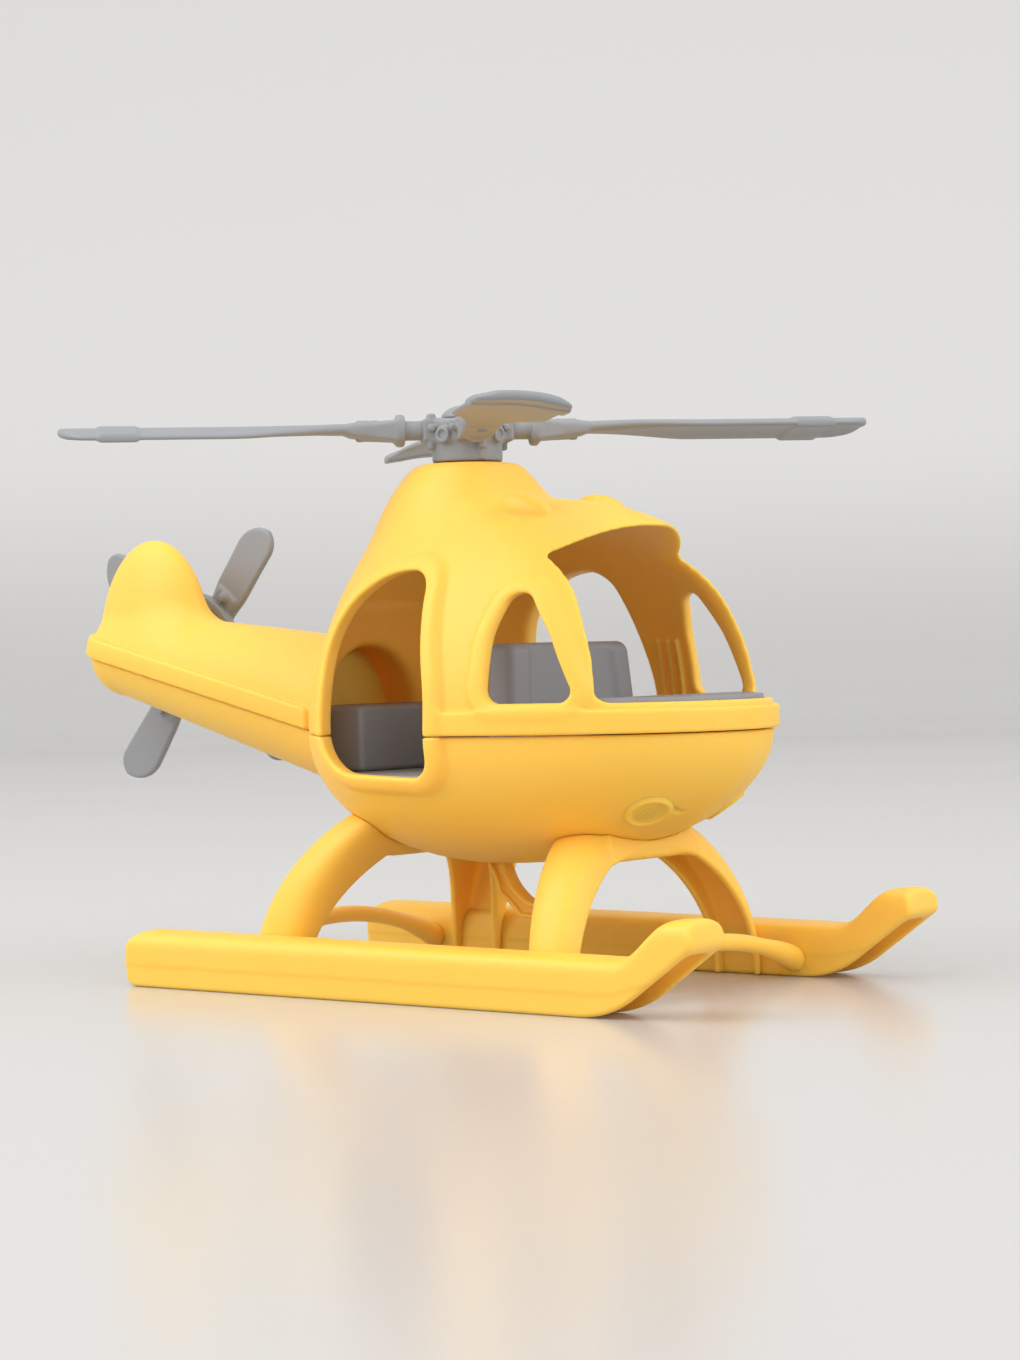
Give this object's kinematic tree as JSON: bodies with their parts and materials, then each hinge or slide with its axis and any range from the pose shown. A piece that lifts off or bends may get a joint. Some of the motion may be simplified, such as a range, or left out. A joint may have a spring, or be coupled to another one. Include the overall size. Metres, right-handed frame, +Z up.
{
  "type": "toy helicopter",
  "caption": "Chunky moulded toy helicopter with an open cabin, seats, skid landing gear, a tail boom and fin, and free-spinning main and tail rotors.",
  "frame": {"origin": "middle of the overall bounding box, on the surface that the skids stand on", "axes": "+X towards the nose, +Y to the aircraft's left, +Z up"},
  "size_m": [0.3081, 0.1876, 0.1772],
  "materials": {
    "yellow": "warm yellow moulded plastic, satin, very fine grain",
    "cabin_grey": "neutral mid-grey moulded plastic, satin, fine grain",
    "rotor_grey": "cool mid-grey moulded plastic, satin",
    "screw_steel": "zinc-plated steel"
  },
  "bodies": {
    "airframe": {"upper_shell": "yellow", "lower_shell": "yellow", "skid_left": "yellow", "skid_right": "yellow", "front_arch": "yellow", "rear_arch": "yellow", "front_cross_tube": "yellow", "rear_cross_tube": "yellow", "belly_hook": "yellow", "cabin_floor": "cabin_grey", "front_seat": "cabin_grey", "rear_bench": "cabin_grey", "gear_screws": "screw_steel"},
    "main_rotor": {"mast_shaft": "rotor_grey", "mast_clip": "rotor_grey", "rotor_hub": "rotor_grey", "rotor_cap": "rotor_grey", "blade_pins": "rotor_grey", "rotor_blade_1": "rotor_grey", "rotor_blade_2": "rotor_grey", "rotor_blade_3": "rotor_grey", "rotor_blade_4": "rotor_grey"},
    "tail_rotor": {"tail_axle": "rotor_grey", "tail_clip": "rotor_grey", "tail_hub": "rotor_grey", "tail_blade_1": "rotor_grey", "tail_blade_2": "rotor_grey", "tail_blade_3": "rotor_grey", "tail_blade_4": "rotor_grey"}
  },
  "joints": [
    {"name": "main_rotor_spin", "type": "hinge", "parent": "airframe", "child": "main_rotor", "pos_m": [0.0274, 0, 0.159], "axis": [0, 0, 1], "continuous": true},
    {"name": "tail_rotor_spin", "type": "hinge", "parent": "airframe", "child": "tail_rotor", "pos_m": [-0.1106, 0.0192, 0.1018], "axis": [0, 1, 0], "continuous": true}
  ]
}
